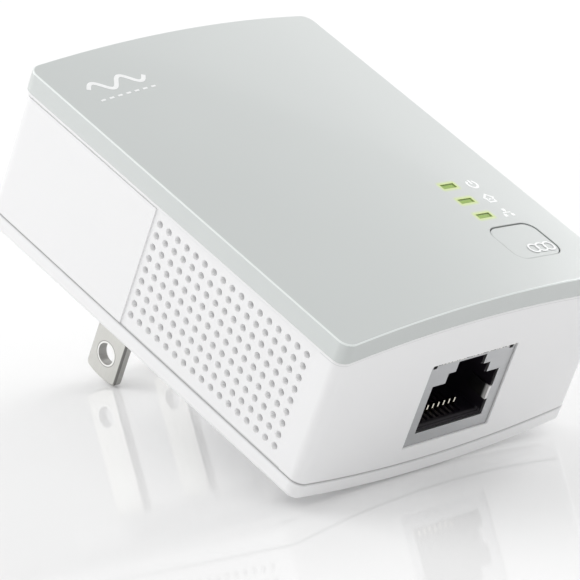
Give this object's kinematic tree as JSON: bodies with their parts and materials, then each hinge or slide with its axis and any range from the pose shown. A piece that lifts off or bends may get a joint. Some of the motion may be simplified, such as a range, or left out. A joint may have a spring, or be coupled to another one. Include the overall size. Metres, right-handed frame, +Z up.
{
  "type": "powerline adapter",
  "caption": "Plug-in powerline network adapter: small box with a glossy front, vented sides, indicator windows, a pairing button, a network jack and a two-blade mains plug.",
  "frame": {"origin": "midway between the two plug blades, on the face of the raised pad that meets the wall plate", "axes": "+Y into the wall along the blades, +Z up as plugged in, +X to the right seen from the room"},
  "size_m": [0.052, 0.0492, 0.0653],
  "materials": {
    "cover_plastic": "glossy light silver-grey",
    "case_plastic": "satin white",
    "button_plastic": "glossy light silver-grey, like the cover",
    "label_film": null,
    "screw_steel": "zinc-plated",
    "blade_nickel": "nickel-plated brass",
    "carrier_plastic": "black glass-filled plastic",
    "board_green": "green solder mask on fibreglass",
    "component_black": "moulded epoxy",
    "component_grey": "grey film-capacitor box",
    "component_blue": "blue epoxy dip",
    "component_yellow": "yellow tape and boxes",
    "ferrite": "dark ferrite",
    "copper": "enamelled copper wire",
    "sleeve": "shrink sleeve over an aluminium can",
    "gold": "gold-plated phosphor bronze",
    "bare_metal": "aluminium",
    "shield_metal": "nickel-plated shield",
    "thermal_pad": "soft blue-grey gap pad",
    "light_guide": "clear acrylic lit yellow-green",
    "led_white": "surface-mount lamp",
    "sheet": "thin black insulating film"
  },
  "bodies": {
    "case": {"front_cover": "cover_plastic", "main_housing": "case_plastic", "base_plate": "case_plastic", "rating_label": "label_film", "case_screws": "screw_steel", "blade_left": "blade_nickel", "blade_right": "blade_nickel", "blade_carrier": "carrier_plastic", "power_board": "board_green", "fuse": "component_black", "varistor": "component_blue", "x_capacitor": "component_grey", "choke_core": "ferrite", "choke_windings": "copper", "bridge_rectifier": "component_black", "bulk_capacitors": "sleeve", "transformer_bobbin": "component_black", "transformer_core": "ferrite", "transformer_winding": "component_yellow", "y_capacitor": "component_blue", "output_capacitor": "sleeve", "output_inductor": "ferrite", "switching_chip": "component_black", "optocoupler": "component_black", "output_diode": "component_black", "coupling_transformer": "component_yellow", "coupling_capacitor": "component_grey", "link_header": "component_black", "link_socket": "component_black", "comm_board": "board_green", "board_screws": "screw_steel", "main_chip": "component_black", "thermal_pad": "thermal_pad", "heat_spreader": "bare_metal", "memory_chip": "component_black", "flash_chip": "component_black", "ethernet_chip": "component_black", "crystal": "bare_metal", "lan_magnetics": "component_black", "indicator_leds": "led_white", "light_guide": "light_guide", "insulating_sheet": "sheet", "switch_body": "component_black", "switch_plate": "bare_metal", "switch_dome": "bare_metal", "jack_shield": "shield_metal", "jack_insert": "component_black", "jack_contacts": "gold"},
    "button": {"pair_button": "button_plastic"},
    "plunger": {"switch_plunger": "component_black"}
  },
  "joints": [
    {"name": "pair_button_press", "type": "slide", "parent": "case", "child": "button", "axis": [0, 1, 0], "range_m": [0, 0.0003], "stiffness_N_per_m": 150},
    {"name": "switch_plunger_press", "type": "slide", "parent": "case", "child": "plunger", "axis": [0, 1, 0], "range_m": [0, 0.0003]}
  ],
  "couplings": [
    {"joint": "switch_plunger_press", "follows": "pair_button_press", "ratio": 1}
  ]
}
